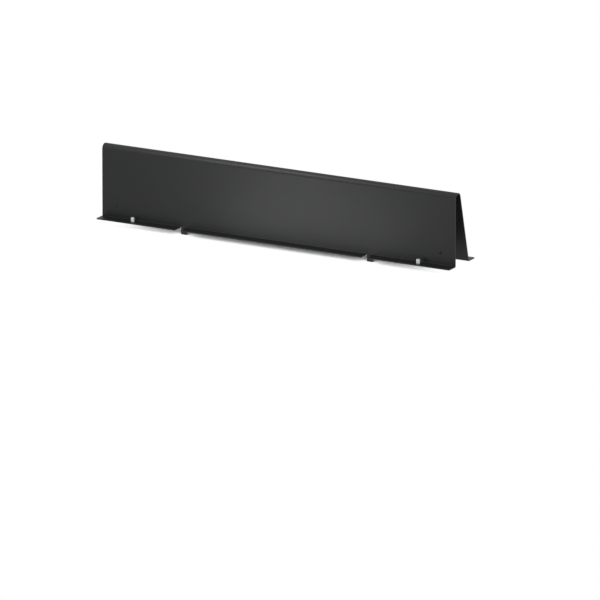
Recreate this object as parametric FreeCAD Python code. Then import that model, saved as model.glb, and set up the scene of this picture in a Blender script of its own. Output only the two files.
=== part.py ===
import FreeCAD, Part
import math
import os

# Rack partition panel: a steel sheet folded into an upside-down V, with two pins in its front flange.
# Millimetres. X runs along the panel, Y from the upright front face to the sloping back leg, Z is up.
# The origin is midway along the length and the depth, level with the feet of the hook tabs.

# Folded sheet
LENGTH = 600.0          # along X
HEIGHT = 112.0          # from the undersides of the flanges to the top of the nose
SHEET = 1.5             # thickness of the steel
BASE = 42.0             # between the outsides of the two legs, where they meet the flanges
FLANGE = 19.0           # from the outside of a leg to the free edge of its flange
NOSE_RADIUS = 8.0       # outside of the rounded top
FOLD_RADIUS = 0.5       # inside of the fold between a leg and its flange
FLANGE_CORNER = 2.0     # radius of the flanges' outer corners

# Hook tabs, two to a leg, each in the plane of its leg, with the toes all pointing along +X
TAB_SPACING = 316.0     # between the middles of a leg's two tabs
TAB_SHIFT = -2.0        # from even places along X, so that the panel is central once it has slid home
TAB_DROP = 10.0         # from the undersides of the flanges to the feet of the tabs
TAB_STEM = 6.5          # width of the stem
TAB_TOE = 3.5           # how far the toe stands out of the stem
TAB_TOE_HEIGHT = 4.5
TAB_CORNER = 1.0        # radius of the hook's outer corners
TAB_RELIEF = 0.5        # gap cut between a tab and the sheet beside it

# Round holes in the front face, one near each end
FACE_HOLE_DIAMETER = 5.5
FACE_HOLE_FROM_END = 25.0
FACE_HOLE_HEIGHT = 19.5  # above the undersides of the flanges

# Pins in the front flange
PIN_SPACING = 485.0
PIN_FROM_FACE = 9.0     # from the outside of the front face to the axis of a pin
PIN_DIAMETER = 6.0
PIN_HEIGHT = 6.5        # above the flange
PIN_CHAMFER = 0.6
PIN_SPIGOT_DIAMETER = 4.0
PIN_HOLE_CLEARANCE = 0.05  # all round the spigot

# Levels and places that follow from the sizes above
SEAT = TAB_DROP                 # undersides of the flanges
FLANGE_TOP = SEAT + SHEET
TOP = SEAT + HEIGHT
FACE_Y = -BASE / 2              # outside of the front face; the back leg's foot is at -FACE_Y
EDGE_Y = BASE / 2 + FLANGE      # free edge of the back flange; the front one is at -EDGE_Y
CUT_MARGIN = 1.0                # how far a cutting solid runs past the sheet

ALONG = FreeCAD.Vector(1, 0, 0)
UP = FreeCAD.Vector(0, 0, 1)


def back_lean():
    """Angle of the back leg from upright, for a nose that is tangent to both legs."""
    rise = TOP - NOSE_RADIUS - FLANGE_TOP
    half_tangent = (math.sqrt(rise ** 2 + BASE * (BASE - 2 * NOSE_RADIUS)) - rise) / BASE
    return 2 * math.atan(half_tangent)


def rounded_wire(corners, radii, closed):
    """Straight runs from corner to corner, with a tangent arc of its own radius at each corner."""
    count = len(corners)
    starts, arcs, ends = [], [], []
    for i, (corner, radius) in enumerate(zip(corners, radii)):
        if radius == 0:
            starts.append(corner)
            arcs.append(None)
            ends.append(corner)
            continue
        back = (corners[i - 1] - corner).normalize()
        onward = (corners[(i + 1) % count] - corner).normalize()
        half_angle = back.getAngle(onward) / 2
        setback = radius / math.tan(half_angle)
        inward = (back + onward).normalize()
        middle = corner + inward * (radius / math.sin(half_angle) - radius)
        starts.append(corner + back * setback)
        ends.append(corner + onward * setback)
        arcs.append(Part.Arc(starts[-1], middle, ends[-1]).toShape())
    edges = []
    for i in range(count):
        if arcs[i] is not None:
            edges.append(arcs[i])
        if closed or i + 1 < count:
            edges.append(Part.LineSegment(ends[i], starts[(i + 1) % count]).toShape())
    return Part.Wire(edges)


def folded_sheet():
    """The sheet with its folds, before its tabs and holes."""
    apex_z = FLANGE_TOP + BASE / math.tan(back_lean())
    section = (
        (-EDGE_Y, FLANGE_TOP, 0),
        (FACE_Y, FLANGE_TOP, FOLD_RADIUS),
        (FACE_Y, apex_z, NOSE_RADIUS),
        (-FACE_Y, FLANGE_TOP, FOLD_RADIUS),
        (EDGE_Y, FLANGE_TOP, 0),
    )
    corners = [FreeCAD.Vector(-LENGTH / 2, y, z) for y, z, radius in section]
    radii = [radius for y, z, radius in section]
    outside = rounded_wire(corners, radii, closed=False)
    face = outside.makeOffset2D(SHEET, fill=True, openResult=True)
    sheet = face.extrude(ALONG * LENGTH)
    return sheet.makeFillet(FLANGE_CORNER, flange_corner_edges(sheet))


def flange_corner_edges(sheet):
    """The upright edges at the four outer corners of the flanges."""
    found = []
    for edge in sheet.Edges:
        middle = edge.BoundBox.Center
        at_end = math.isclose(abs(middle.x), LENGTH / 2)
        at_free_edge = math.isclose(abs(middle.y), EDGE_Y)
        if at_end and at_free_edge:
            found.append(edge)
    return found


class Leg:
    """One leg's plane at its foot: the fold's corner on the outside, the way down the leg and outward."""

    def __init__(self, side, lean):
        self.side = side                                    # -1 for the front leg, 1 for the back leg
        self.foot = FreeCAD.Vector(0, side * BASE / 2, FLANGE_TOP)
        self.down = FreeCAD.Vector(0, side * math.sin(lean), -math.cos(lean))
        self.outward = FreeCAD.Vector(0, side * math.cos(lean), math.sin(lean))
        self.fold_setback = FOLD_RADIUS / math.tan((math.pi / 2 + lean) / 2)
        self.tab_length = (FLANGE_TOP - SHEET * math.sin(lean)) / math.cos(lean)

    def at(self, x, down):
        """A point on the leg's outside, x along the panel and so far below the fold's corner."""
        return self.foot + ALONG * x + self.down * down


def tab(leg, middle_x):
    """One hook: a stem in the leg's plane, with a toe at its foot."""
    left = middle_x - (TAB_STEM + TAB_TOE) / 2
    right = left + TAB_STEM
    root = -leg.fold_setback - TAB_RELIEF - CUT_MARGIN
    toe_top = leg.tab_length - TAB_TOE_HEIGHT
    outline = (
        (left, root, 0),
        (left, leg.tab_length, TAB_CORNER),
        (right + TAB_TOE, leg.tab_length, TAB_CORNER),
        (right + TAB_TOE, toe_top, TAB_CORNER),
        (right, toe_top, 0),
        (right, root, 0),
    )
    corners = [leg.at(x, down) for x, down, radius in outline]
    wire = rounded_wire(corners, [radius for x, down, radius in outline], closed=True)
    return Part.Face(wire).extrude(leg.outward * -SHEET)


def notch(leg, middle_x):
    """What is cut from the fold and the flange around one hook, open at the flange's free edge."""
    left = middle_x - (TAB_STEM + TAB_TOE) / 2 - TAB_RELIEF
    stem_right = left + TAB_STEM + 2 * TAB_RELIEF
    toe_right = stem_right + TAB_TOE
    root = -leg.fold_setback - TAB_RELIEF
    reach = FLANGE + SHEET + 2 * CUT_MARGIN
    depth = leg.tab_length + CUT_MARGIN
    corners = [leg.at(left, root), leg.at(stem_right, root), leg.at(stem_right, depth), leg.at(left, depth)]
    inside = [corner - leg.outward * (SHEET + CUT_MARGIN) for corner in corners]
    around_stem = Part.Face(Part.makePolygon(inside + inside[:1])).extrude(leg.outward * reach)
    toe_start = leg.tab_length - TAB_TOE_HEIGHT - TAB_RELIEF
    near_y = leg.side * (BASE / 2 + toe_start)
    far_y = leg.side * (EDGE_Y + CUT_MARGIN)
    corner = FreeCAD.Vector(left, min(near_y, far_y), SEAT - CUT_MARGIN)
    around_toe = Part.makeBox(toe_right - left, abs(far_y - near_y), SHEET + 2 * CUT_MARGIN, corner)
    return [around_stem, around_toe]


def mirrored_places(spacing):
    """The two places along the panel that lie so far apart."""
    return (-spacing / 2, spacing / 2)


def face_holes():
    """Cutters for the round holes in the front face."""
    spacing = LENGTH - 2 * FACE_HOLE_FROM_END
    start_y = FACE_Y - CUT_MARGIN
    middle_z = SEAT + FACE_HOLE_HEIGHT
    depth = SHEET + 2 * CUT_MARGIN
    backward = FreeCAD.Vector(0, 1, 0)
    return [
        Part.makeCylinder(FACE_HOLE_DIAMETER / 2, depth, FreeCAD.Vector(x, start_y, middle_z), backward)
        for x in mirrored_places(spacing)
    ]


def pin_place(x, z):
    """A point on the axis of the pin at x."""
    return FreeCAD.Vector(x, FACE_Y - PIN_FROM_FACE, z)


def pin_holes():
    """Cutters for the holes that the pins' spigots sit in."""
    radius = PIN_SPIGOT_DIAMETER / 2 + PIN_HOLE_CLEARANCE
    depth = SHEET + 2 * CUT_MARGIN
    return [
        Part.makeCylinder(radius, depth, pin_place(x, SEAT - CUT_MARGIN), UP)
        for x in mirrored_places(PIN_SPACING)
    ]


def partition_panel():
    """The whole sheet, with hooks, notches and holes."""
    legs = (Leg(-1, 0.0), Leg(1, back_lean()))
    tabs, cuts = [], face_holes() + pin_holes()
    for leg in legs:
        for even_x in mirrored_places(TAB_SPACING):
            middle_x = even_x + TAB_SHIFT
            tabs.append(tab(leg, middle_x))
            cuts.extend(notch(leg, middle_x))
    return folded_sheet().cut(cuts).fuse(tabs).removeSplitter()


def locating_pin(x):
    """One pin: a round head that stands on the flange, and a spigot that is flush with its underside."""
    head = Part.makeCylinder(PIN_DIAMETER / 2, PIN_HEIGHT, pin_place(x, FLANGE_TOP), UP)
    rim = [edge for edge in head.Edges if math.isclose(edge.BoundBox.ZMin, FLANGE_TOP + PIN_HEIGHT)]
    head = head.makeChamfer(PIN_CHAMFER, rim)
    spigot = Part.makeCylinder(PIN_SPIGOT_DIAMETER / 2, SHEET, pin_place(x, SEAT), UP)
    return head.fuse(spigot).removeSplitter()


def locating_pins():
    """The pins, as separate solids."""
    pins = [solid for x in mirrored_places(PIN_SPACING) for solid in locating_pin(x).Solids]
    return Part.makeCompound(pins)


NODES = {
    "partition_panel": partition_panel,
    "locating_pins": locating_pins,
}


def main():
    os.makedirs("parts", exist_ok=True)
    for name, make in NODES.items():
        shape = make()
        print(name, len(shape.Solids), "solids", shape.isValid(), round(shape.Volume), "mm3", shape.BoundBox)
        shape.exportStep(f"parts/{name}.step")


if __name__ == "__main__":
    main()
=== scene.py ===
import math

import bmesh
import bpy
from mathutils import Matrix, Vector


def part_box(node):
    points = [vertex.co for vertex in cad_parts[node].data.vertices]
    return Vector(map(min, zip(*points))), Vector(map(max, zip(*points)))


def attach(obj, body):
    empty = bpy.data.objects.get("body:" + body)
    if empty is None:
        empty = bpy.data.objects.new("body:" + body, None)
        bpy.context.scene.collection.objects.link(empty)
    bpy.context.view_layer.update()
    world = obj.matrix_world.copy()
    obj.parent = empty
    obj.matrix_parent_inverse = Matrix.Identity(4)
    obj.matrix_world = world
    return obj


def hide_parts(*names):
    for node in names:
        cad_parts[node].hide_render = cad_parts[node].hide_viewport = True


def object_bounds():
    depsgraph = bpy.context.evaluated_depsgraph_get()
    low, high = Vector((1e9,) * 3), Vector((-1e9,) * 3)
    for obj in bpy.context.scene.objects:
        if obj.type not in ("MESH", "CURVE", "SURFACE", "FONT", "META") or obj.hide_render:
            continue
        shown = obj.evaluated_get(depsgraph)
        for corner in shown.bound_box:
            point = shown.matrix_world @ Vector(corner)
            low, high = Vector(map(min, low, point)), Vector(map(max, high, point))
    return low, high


# Looks for a rack partition panel: a folded steel sheet in black powder coat, with two bright pins.
# Metres. X runs along the panel, Y from the upright front face to the sloping back leg, Z is up.

bl_info = {
    "name": "Rack partition panel",
    "version": (1, 0, 0),
    "blender": (4, 5, 0),
    "location": "View3D > Sidebar > Partition",
    "description": "Finishes a folded partition panel and its pins, and sets up a plain studio around them",
    "category": "Object",
}

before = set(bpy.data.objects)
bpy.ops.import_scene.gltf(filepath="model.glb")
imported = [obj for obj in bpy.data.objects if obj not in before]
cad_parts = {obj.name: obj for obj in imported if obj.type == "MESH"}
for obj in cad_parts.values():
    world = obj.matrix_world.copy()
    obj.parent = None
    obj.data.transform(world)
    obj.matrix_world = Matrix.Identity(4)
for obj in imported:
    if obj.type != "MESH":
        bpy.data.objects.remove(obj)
CAD_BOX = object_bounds()

MM = 0.001
BODY = "root"

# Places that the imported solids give
PINS_LOW, PINS_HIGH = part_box("locating_pins")
PIN_RADIUS = (PINS_HIGH.y - PINS_LOW.y) / 2
PIN_SPACING = PINS_HIGH.x - PINS_LOW.x - 2 * PIN_RADIUS
PIN_MIDDLE_Y = (PINS_HIGH.y + PINS_LOW.y) / 2
PIN_COUNT = 2
PIN_SIDES = 64
PIN_EDGE_STEPS = 4
FLOOR_Z = CAD_BOX[0].z

# Meshes
WELD = 0.001 * MM                       # points closer than this are one
FLAT_ANGLE = math.radians(0.1)          # faces that meet at less than this are one flat area
CUT_ANGLE = math.radians(40)            # edges sharper than this are cut edges, which the coat rounds

# Finishes
NOISE_RANGE = (0.3, 0.7)                # where most of a noise's values lie
PEEL_GRAINS = 5                         # width of the coat's orange peel, in grains
PEEL_SHARE = 1.5                        # height of the orange peel beside the grain's
CLOUD_GRAINS = 60                       # width of the coat's clouds, in grains
COAT_TINTS = (0.86, 1.16)               # darkest and lightest cloud
COAT_CLOUD = 0.015                      # change of roughness from cloud to cloud
COAT_SPECKLE = 0.05                     # change of roughness from grain to grain
COAT_BUMP = 0.6
COAT_SPECULAR = 0.27                    # below a plain lacquer's 0.5, as the coat mirrors less
RING_SIZE = 0.12 * MM                   # height of a turning mark on a pin
RING_STRETCH = (0.15, 0.15, 1.0)        # draws the marks out sideways
RING_ROUGHNESS = (0.56, 0.70)
RING_BUMP = 0.4
RING_DEPTH = 0.01 * MM
ZINC_PATCH = 1.2 * MM
ZINC_TINTS = (0.90, 1.08)               # darkest and lightest patch

# Stage
FLOOR_REACH = 15.0
SHADOW_SAMPLES = 32
CLIP_DISTANCES = 4                      # how far the camera sees, in distances to the panel

# Soft boxes, in metres: where each stands, what it is aimed at, its size and level, and a narrow one's beam
PANEL_MIDDLE = (0, 0, 0.061)
LAMPS = {
    "key": dict(
        place=(-0.160, -0.450, 0.030), aim=(-0.032, -0.021, 0.060), width=0.13, height=0.05, level=0.24),
    "low": dict(
        place=(0.005, -0.150, 0.017), aim=(0.010, -0.021, 0.032), width=0.30, height=0.03, level=0.50),
    "front": dict(
        place=(-0.273, -0.325, 0.485), aim=PANEL_MIDDLE, width=0.20, height=0.20, level=0.30),
    "crown": dict(
        place=(-0.205, -0.149, 0.538), aim=PANEL_MIDDLE, width=0.15, height=0.15, level=0.20),
    "end": dict(
        place=(0.676, -0.137, 0.110), aim=(0.300, 0.000, 0.080), width=0.15, height=0.08, level=0.65),
    "back": dict(
        place=(0.160, 0.450, 0.060), aim=(-0.030, 0.030, 0.055), width=0.15, height=0.08, level=0.06,
        beam=math.radians(60)),
}


class PanelSettings(bpy.types.PropertyGroup):
    """The coated sheet."""

    edge_radius: bpy.props.FloatProperty(
        name="Edge radius",
        description="Rounding that the coat leaves on each cut edge of the sheet",
        default=0.2 * MM, min=0.05 * MM, max=0.6 * MM, unit="LENGTH",
    )
    edge_steps: bpy.props.IntProperty(
        name="Edge steps",
        description="Faces across each rounded edge",
        default=3, min=1, max=6,
    )
    coat_colour: bpy.props.FloatVectorProperty(
        name="Coat colour",
        description="Colour of the powder coat",
        default=(0.0080, 0.0083, 0.0088), size=3, min=0, max=1, subtype="COLOR",
    )
    coat_roughness: bpy.props.FloatProperty(
        name="Coat roughness",
        description="Middle of the coat's satin roughness",
        default=0.45, min=0, max=1, subtype="FACTOR",
    )
    grain_size: bpy.props.FloatProperty(
        name="Grain size",
        description="Width of the coat's fine grain",
        default=0.55 * MM, min=0.1 * MM, max=5 * MM, unit="LENGTH",
    )
    grain_height: bpy.props.FloatProperty(
        name="Grain height",
        description="Height of the coat's fine grain",
        default=0.03 * MM, min=0, max=0.2 * MM, unit="LENGTH",
    )


class PinSettings(bpy.types.PropertyGroup):
    """The turned pins in the front flange."""

    chamfer: bpy.props.FloatProperty(
        name="Chamfer",
        description="Chamfer round the top of a pin",
        default=0.6 * MM, min=0, max=2 * MM, unit="LENGTH",
    )
    spigot_radius: bpy.props.FloatProperty(
        name="Spigot radius",
        description="Radius of the spigot that fills the hole in the flange",
        default=2.0 * MM, min=0.5 * MM, max=2.9 * MM, unit="LENGTH",
    )
    flange_thickness: bpy.props.FloatProperty(
        name="Flange thickness",
        description="Length of the spigot, flush with the underside of the flange",
        default=1.5 * MM, min=0.5 * MM, max=4 * MM, unit="LENGTH",
    )
    edge_radius: bpy.props.FloatProperty(
        name="Edge radius",
        description="Rounding of a pin's turned edges",
        default=0.12 * MM, min=0.01 * MM, max=0.3 * MM, unit="LENGTH",
    )
    zinc_colour: bpy.props.FloatVectorProperty(
        name="Zinc colour",
        description="Colour of the zinc plate",
        default=(0.55, 0.56, 0.57), size=3, min=0, max=1, subtype="COLOR",
    )


class StageSettings(bpy.types.PropertyGroup):
    """The camera, floor and lamps."""

    azimuth: bpy.props.FloatProperty(
        name="Azimuth",
        description="How far round to the right of the front face the camera stands",
        default=math.radians(29.09), subtype="ANGLE",
    )
    elevation: bpy.props.FloatProperty(
        name="Elevation",
        description="How far above the horizon the camera stands",
        default=math.radians(15.39), subtype="ANGLE",
    )
    lens: bpy.props.FloatProperty(
        name="Lens",
        description="Focal length, long because the panel's edges hardly converge",
        default=900.0, min=20, unit="CAMERA",
    )
    distance: bpy.props.FloatProperty(
        name="Distance",
        description="From the camera to the panel's origin",
        default=22.287, min=1, unit="LENGTH",
    )
    aside: bpy.props.FloatProperty(
        name="Aside",
        description="How far the middle of the picture lies to the right of the panel's origin",
        default=22.88 * MM, unit="LENGTH",
    )
    below: bpy.props.FloatProperty(
        name="Below",
        description="How far the middle of the picture lies below the panel's origin",
        default=81.53 * MM, unit="LENGTH",
    )
    floor_colour: bpy.props.FloatVectorProperty(
        name="Floor colour",
        description="Colour of the paper that the panel stands on",
        default=(0.9, 0.9, 0.9), size=3, min=0, max=1, subtype="COLOR",
    )
    # The paper's shadow is painted: these map its share of open sky to the glow that the camera sees
    shadow_reach: bpy.props.FloatProperty(
        name="Shadow reach",
        description="How far round it the panel darkens the paper",
        default=300 * MM, min=1 * MM, max=1, unit="LENGTH",
    )
    shadow_core: bpy.props.FloatProperty(
        name="Shadow core",
        description="Share of open sky at which the paper is seen black",
        default=0.03, min=0, max=1, subtype="FACTOR",
    )
    shadow_edge: bpy.props.FloatProperty(
        name="Shadow edge",
        description="Share of open sky at which the paper is seen white",
        default=0.12, min=0, max=1, subtype="FACTOR",
    )
    fill: bpy.props.FloatProperty(
        name="Fill",
        description="Light from all round, as a share of a plain level",
        default=0.5, min=0, max=1, subtype="FACTOR",
    )


# Helpers for node trees

def add_node(tree, kind, settings=None, **inputs):
    """A new node, with its settings, and with each named input set to a value or linked to a socket."""
    node = tree.nodes.new(kind)
    for name, value in (settings or {}).items():
        setattr(node, name, value)
    for name, value in inputs.items():
        feed(tree, node.inputs[name.replace("_", " ")], value)
    return node


def feed(tree, socket, value):
    """Links a socket to another node's output, or sets its value."""
    if isinstance(value, bpy.types.NodeSocket):
        tree.links.new(value, socket)
    else:
        socket.default_value = value


def new_material(name):
    """An empty node material, with its shader, its output and the piece's own coordinates."""
    material = bpy.data.materials.new(name)
    material.use_nodes = True
    tree = material.node_tree
    tree.nodes.clear()
    shader = add_node(tree, "ShaderNodeBsdfPrincipled")
    add_node(tree, "ShaderNodeOutputMaterial", Surface=shader.outputs["BSDF"])
    place = add_node(tree, "ShaderNodeTexCoord").outputs["Object"]
    return material, tree, shader, place


def noise(tree, place, size, detail=2.0):
    """Values of a noise whose features are about so wide."""
    made = add_node(tree, "ShaderNodeTexNoise", Vector=place, Scale=1 / size, Detail=detail)
    return made.outputs["Fac"]


def spread(tree, value, low, high):
    """A noise's values, stretched over a range."""
    made = add_node(
        tree, "ShaderNodeMapRange", Value=value,
        From_Min=NOISE_RANGE[0], From_Max=NOISE_RANGE[1], To_Min=low, To_Max=high)
    return made.outputs["Result"]


def between(tree, factor, first, second):
    """A colour between two others."""
    made = add_node(tree, "ShaderNodeMix", {"data_type": "RGBA"})
    colours = [socket for socket in made.inputs if socket.type == "RGBA"]
    feed(tree, made.inputs["Factor"], factor)
    feed(tree, colours[0], first)
    feed(tree, colours[1], second)
    return next(socket for socket in made.outputs if socket.type == "RGBA")


def tinted(colour, share):
    """A colour made lighter or darker, with alpha."""
    return (*[channel * share for channel in colour], 1.0)


# Finishes

def black_powder_coat(settings):
    """Satin black coat with a fine grain, a slight orange peel and cloudy changes of gloss."""
    material, tree, shader, place = new_material("black_powder_coat")
    grain = noise(tree, place, settings.grain_size, detail=3.0)
    peel = noise(tree, place, PEEL_GRAINS * settings.grain_size)
    clouds = noise(tree, place, CLOUD_GRAINS * settings.grain_size)

    dark, light = [tinted(settings.coat_colour, share) for share in COAT_TINTS]
    feed(tree, shader.inputs["Base Color"], between(tree, clouds, dark, light))

    cloudy = spread(tree, clouds, settings.coat_roughness - COAT_CLOUD, settings.coat_roughness + COAT_CLOUD)
    speckled = spread(tree, grain, -COAT_SPECKLE, COAT_SPECKLE)
    roughness = add_node(tree, "ShaderNodeMath", {"operation": "ADD"})
    feed(tree, roughness.inputs[0], cloudy)
    feed(tree, roughness.inputs[1], speckled)
    feed(tree, shader.inputs["Roughness"], roughness.outputs["Value"])

    height = add_node(tree, "ShaderNodeMath", {"operation": "MULTIPLY_ADD"})
    feed(tree, height.inputs[0], peel)
    height.inputs[1].default_value = PEEL_SHARE
    feed(tree, height.inputs[2], grain)
    bump = add_node(
        tree, "ShaderNodeBump",
        Height=height.outputs["Value"], Strength=COAT_BUMP, Distance=settings.grain_height)
    feed(tree, shader.inputs["Normal"], bump.outputs["Normal"])
    shader.inputs["Specular IOR Level"].default_value = COAT_SPECULAR
    return material


def bright_zinc(settings):
    """Zinc plate over fine turning marks."""
    material, tree, shader, place = new_material("bright_zinc")
    shader.inputs["Metallic"].default_value = 1.0
    stretched = add_node(tree, "ShaderNodeMapping", Vector=place, Scale=RING_STRETCH)
    rings = noise(tree, stretched.outputs["Vector"], RING_SIZE)
    patches = noise(tree, place, ZINC_PATCH)
    dark, light = [tinted(settings.zinc_colour, share) for share in ZINC_TINTS]
    feed(tree, shader.inputs["Base Color"], between(tree, patches, dark, light))
    feed(tree, shader.inputs["Roughness"], spread(tree, rings, *RING_ROUGHNESS))
    bump = add_node(tree, "ShaderNodeBump", Height=rings, Strength=RING_BUMP, Distance=RING_DEPTH)
    feed(tree, shader.inputs["Normal"], bump.outputs["Normal"])
    return material


# Pieces

def shown_piece(name, mesh, node):
    """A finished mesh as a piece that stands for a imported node."""
    piece = bpy.data.objects.new(name, mesh)
    bpy.context.scene.collection.objects.link(piece)
    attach(piece, BODY)
    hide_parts(node)
    return piece


def evaluated_mesh(mesh, name, prepare):
    """A plain mesh of what an object of this mesh becomes under the modifiers that prepare adds."""
    draft = bpy.data.objects.new(name, mesh)
    bpy.context.scene.collection.objects.link(draft)
    prepare(draft)
    graph = bpy.context.evaluated_depsgraph_get()
    result = bpy.data.meshes.new_from_object(draft.evaluated_get(graph), depsgraph=graph)
    bpy.data.objects.remove(draft)
    bpy.data.meshes.remove(mesh)
    result.name = name
    return result


def bare_sheet():
    """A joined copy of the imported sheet, with its flat areas whole."""
    mesh = bpy.data.meshes.new("bare_sheet")
    shape = bmesh.new()
    shape.from_mesh(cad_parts["partition_panel"].data)
    bmesh.ops.remove_doubles(shape, verts=shape.verts, dist=WELD)
    bmesh.ops.dissolve_limit(shape, angle_limit=FLAT_ANGLE, verts=shape.verts, edges=shape.edges)
    for face in shape.faces:
        face.smooth = True
    shape.to_mesh(mesh)
    shape.free()
    return mesh


def round_edges(piece, radius, steps):
    """Rounds the sheet's cut edges, as the coat does, and leaves its folds as they are."""
    bevel = piece.modifiers.new("coated edges", "BEVEL")
    bevel.width = radius
    bevel.segments = steps
    bevel.limit_method = "ANGLE"
    bevel.angle_limit = CUT_ANGLE
    bevel.use_clamp_overlap = False
    bevel.loop_slide = False
    weighted = piece.modifiers.new("flat faces", "WEIGHTED_NORMAL")
    weighted.mode = "FACE_AREA"


class PARTITION_OT_panel(bpy.types.Operator):
    """Coat the folded sheet"""

    bl_idname = "partition.panel"
    bl_label = "Coated sheet"

    def execute(self, context):
        settings = context.scene.partition_panel
        mesh = evaluated_mesh(
            bare_sheet(), "panel",
            lambda draft: round_edges(draft, settings.edge_radius, settings.edge_steps))
        mesh.materials.clear()
        mesh.materials.append(black_powder_coat(settings))
        shown_piece("panel", mesh, "partition_panel")
        return {"FINISHED"}


def turned_solid(tree, half_section, rounding):
    """Turns a half section about Z. Its (radius, height) points run from the top of the axis to its foot."""
    widest = max(radius for radius, height in half_section)
    corner = add_node(
        tree, "GeometryNodeIndexSwitch", {"data_type": "VECTOR"},
        Index=add_node(tree, "GeometryNodeInputIndex").outputs["Index"])
    while len(corner.index_switch_items) < len(half_section):
        corner.index_switch_items.new()
    # The sweep lays the section's X outward from the circle and its Y downward
    for i, (radius, height) in enumerate(half_section):
        corner.inputs[str(i)].default_value = (radius - widest, -height, 0)
    line = add_node(tree, "GeometryNodeMeshLine", Count=len(half_section))
    bent = add_node(
        tree, "GeometryNodeSetPosition", Geometry=line.outputs["Mesh"], Position=corner.outputs["Output"])
    section = add_node(tree, "GeometryNodeMeshToCurve", Mesh=bent.outputs["Geometry"])
    rounded = add_node(
        tree, "GeometryNodeFilletCurve", {"mode": "POLY"},
        Curve=section.outputs["Curve"], Count=PIN_EDGE_STEPS, Radius=rounding, Limit_Radius=True)
    circle = add_node(tree, "GeometryNodeCurvePrimitiveCircle", Resolution=PIN_SIDES, Radius=widest)
    upright = add_node(tree, "GeometryNodeSetCurveNormal", {"mode": "Z_UP"}, Curve=circle.outputs["Curve"])
    swept = add_node(
        tree, "GeometryNodeCurveToMesh",
        Curve=upright.outputs["Curve"], Profile_Curve=rounded.outputs["Curve"])
    closed = add_node(tree, "GeometryNodeMergeByDistance", Geometry=swept.outputs["Mesh"], Distance=WELD)
    return closed.outputs["Geometry"]


def pin_row_tree(settings):
    """A node group that sets turned pins in a row along X."""
    tree = bpy.data.node_groups.new("pin_row", "GeometryNodeTree")
    for name, kind in (("Count", "Int"), ("First", "Vector"), ("Step", "Vector"), ("Material", "Material")):
        tree.interface.new_socket(name, in_out="INPUT", socket_type=f"NodeSocket{kind}")
    tree.interface.new_socket("Geometry", in_out="OUTPUT", socket_type="NodeSocketGeometry")
    given = add_node(tree, "NodeGroupInput").outputs

    radius, top = PIN_RADIUS, PINS_HIGH.z - PINS_LOW.z
    shoulder = settings.flange_thickness
    half_section = (
        (0, top),
        (radius - settings.chamfer, top),
        (radius, top - settings.chamfer),
        (radius, shoulder),
        (settings.spigot_radius, shoulder),
        (settings.spigot_radius, 0),
        (0, 0),
    )
    pin = turned_solid(tree, half_section, settings.edge_radius)
    row = add_node(
        tree, "GeometryNodeMeshLine",
        Count=given["Count"], Start_Location=given["First"], Offset=given["Step"])
    pins = add_node(tree, "GeometryNodeInstanceOnPoints", Points=row.outputs["Mesh"], Instance=pin)
    solid = add_node(tree, "GeometryNodeRealizeInstances", Geometry=pins.outputs["Instances"])
    smooth = add_node(tree, "GeometryNodeSetShadeSmooth", Geometry=solid.outputs["Geometry"])
    coated = add_node(
        tree, "GeometryNodeSetMaterial", Geometry=smooth.outputs["Geometry"], Material=given["Material"])
    add_node(tree, "NodeGroupOutput", Geometry=coated.outputs["Geometry"])
    return tree


def set_pins(piece, settings, material):
    """Gives a piece the node group that makes its pins."""
    tree = pin_row_tree(settings)
    values = {
        "Count": PIN_COUNT,
        "First": (-PIN_SPACING / 2, PIN_MIDDLE_Y, PINS_LOW.z),
        "Step": (PIN_SPACING / (PIN_COUNT - 1), 0, 0),
        "Material": material,
    }
    row = piece.modifiers.new("pins", "NODES")
    row.node_group = tree
    for item in tree.interface.items_tree:
        if item.in_out == "INPUT":
            row[item.identifier] = values[item.name]
    weighted = piece.modifiers.new("flat faces", "WEIGHTED_NORMAL")
    weighted.mode = "FACE_AREA"


class PARTITION_OT_pins(bpy.types.Operator):
    """Set the turned pins in the front flange"""

    bl_idname = "partition.pins"
    bl_label = "Turned pins"

    def execute(self, context):
        settings = context.scene.partition_pins
        zinc = bright_zinc(settings)
        mesh = evaluated_mesh(
            bpy.data.meshes.new("bare_pins"), "pins", lambda draft: set_pins(draft, settings, zinc))
        if len(mesh.polygons) == 0:
            raise RuntimeError("the node group made no pins")
        shown_piece("pins", mesh, "locating_pins")
        return {"FINISHED"}


# Stage

def seen_share(tree):
    """1 for rays from the camera and for reflected and transmitted rays, 0 for the light on matt surfaces."""
    path = add_node(tree, "ShaderNodeLightPath").outputs
    share = path["Is Camera Ray"]
    for name in ("Is Glossy Ray", "Is Transmission Ray"):
        either = add_node(tree, "ShaderNodeMath", {"operation": "MAXIMUM"})
        feed(tree, either.inputs[0], share)
        feed(tree, either.inputs[1], path[name])
        share = either.outputs["Value"]
    return share


def floor_material(settings):
    """Matt paper. It is seen and mirrored white, with a painted shadow where the panel shuts out the open
    sky: ambient occlusion, not the lamps, darkens its glow.
    """
    material = bpy.data.materials.new("paper")
    material.use_nodes = True
    tree = material.node_tree
    tree.nodes.clear()
    lit = add_node(tree, "ShaderNodeBsdfDiffuse", Color=tinted(settings.floor_colour, 1.0))
    sky = add_node(
        tree, "ShaderNodeAmbientOcclusion", {"samples": SHADOW_SAMPLES}, Distance=settings.shadow_reach)
    # Painted shadow: the glow of the seen paper follows its share of open sky, not the lamps' light
    painted_shade = add_node(
        tree, "ShaderNodeMapRange", Value=sky.outputs["AO"],
        From_Min=settings.shadow_core, From_Max=settings.shadow_edge)
    white = add_node(tree, "ShaderNodeEmission", Strength=painted_shade.outputs["Result"])
    paper = add_node(tree, "ShaderNodeMixShader", Fac=seen_share(tree))
    feed(tree, paper.inputs[1], lit.outputs["BSDF"])
    feed(tree, paper.inputs[2], white.outputs["Emission"])
    add_node(tree, "ShaderNodeOutputMaterial", Surface=paper.outputs["Shader"])
    return material


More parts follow.
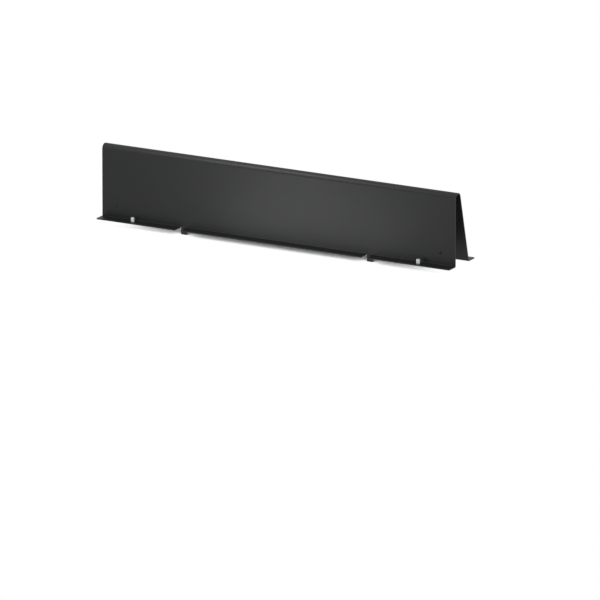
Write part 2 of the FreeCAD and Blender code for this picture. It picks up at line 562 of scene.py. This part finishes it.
def make_floor(settings):
    """A wide plane under the panel."""
    mesh = bpy.data.meshes.new("floor")
    quarters = ((-1, -1), (1, -1), (1, 1), (-1, 1))
    corners = [(x * FLOOR_REACH, y * FLOOR_REACH, FLOOR_Z) for x, y in quarters]
    mesh.from_pydata(corners, [], [(0, 1, 2, 3)])
    mesh.materials.append(floor_material(settings))
    floor = bpy.data.objects.new("floor", mesh)
    bpy.context.scene.collection.objects.link(floor)


def make_world(fill):
    """White where it is seen, and a softer light on matt surfaces."""
    world = bpy.data.worlds.new("studio")
    world.use_nodes = True
    tree = world.node_tree
    tree.nodes.clear()
    strength = add_node(tree, "ShaderNodeMapRange", Value=seen_share(tree), To_Min=fill, To_Max=1.0)
    background = add_node(
        tree, "ShaderNodeBackground", Color=(1, 1, 1, 1), Strength=strength.outputs["Result"])
    add_node(tree, "ShaderNodeOutputWorld", Surface=background.outputs["Background"])
    bpy.context.scene.world = world


def make_lamp(name, place, aim, width, height, level, beam=math.pi):
    """A soft box. Level 1 lights a surface that faces it, where it is aimed, at a plain level.

    A beam of less than half a turn is narrower, and stronger.
    """
    away = Vector(place) - Vector(aim)
    light = bpy.data.lights.new(name, "AREA")
    light.shape = "RECTANGLE"
    light.size = width
    light.size_y = height
    light.energy = level * (math.pi * away.length) ** 2
    light.spread = beam
    lamp = bpy.data.objects.new(name, light)
    bpy.context.scene.collection.objects.link(lamp)
    lamp.location = place
    lamp.rotation_euler = away.to_track_quat("Z", "Y").to_euler()
    lamp.visible_camera = False


def make_camera(settings):
    """A camera at the photograph's angle."""
    a, e = settings.azimuth, settings.elevation
    forward = Vector((-math.sin(a) * math.cos(e), math.cos(a) * math.cos(e), -math.sin(e)))
    right = Vector((math.cos(a), math.sin(a), 0))
    up = right.cross(forward)
    data = bpy.data.cameras.new("camera")
    data.lens = settings.lens
    data.clip_end = CLIP_DISTANCES * settings.distance
    camera = bpy.data.objects.new("camera", data)
    bpy.context.scene.collection.objects.link(camera)
    camera.location = right * settings.aside - up * settings.below - forward * settings.distance
    camera.rotation_euler = Matrix((right, up, -forward)).transposed().to_euler()
    bpy.context.scene.camera = camera


class PARTITION_OT_stage(bpy.types.Operator):
    """Lay the floor and set up the lamps and the camera"""

    bl_idname = "partition.stage"
    bl_label = "Studio"

    def execute(self, context):
        settings = context.scene.partition_stage
        context.scene.view_settings.view_transform = "Standard"
        make_floor(settings)
        make_world(settings.fill)
        for name, values in LAMPS.items():
            make_lamp(name, **values)
        make_camera(settings)
        return {"FINISHED"}


class PARTITION_PT_sidebar(bpy.types.Panel):
    """Lists the operators and their settings"""

    bl_idname = "PARTITION_PT_sidebar"
    bl_label = "Partition panel"
    bl_space_type = "VIEW_3D"
    bl_region_type = "UI"
    bl_category = "Partition"

    def draw(self, context):
        for operator, group in STEPS:
            box = self.layout.box()
            box.operator(operator.bl_idname)
            settings = getattr(context.scene, group)
            for name in settings.__annotations__:
                box.prop(settings, name)


GROUPS = {
    "partition_panel": PanelSettings,
    "partition_pins": PinSettings,
    "partition_stage": StageSettings,
}
STEPS = (
    (PARTITION_OT_panel, "partition_panel"),
    (PARTITION_OT_pins, "partition_pins"),
    (PARTITION_OT_stage, "partition_stage"),
)


def register():
    for name, group in GROUPS.items():
        bpy.utils.register_class(group)
        setattr(bpy.types.Scene, name, bpy.props.PointerProperty(type=group))
    for operator, group in STEPS:
        bpy.utils.register_class(operator)
    bpy.utils.register_class(PARTITION_PT_sidebar)


def unregister():
    bpy.utils.unregister_class(PARTITION_PT_sidebar)
    for operator, group in reversed(STEPS):
        bpy.utils.unregister_class(operator)
    for name, group in reversed(GROUPS.items()):
        delattr(bpy.types.Scene, name)
        bpy.utils.unregister_class(group)


def main():
    register()
    bpy.ops.partition.panel()
    bpy.ops.partition.pins()
    bpy.ops.partition.stage()


if __name__ == "__main__":
    main()
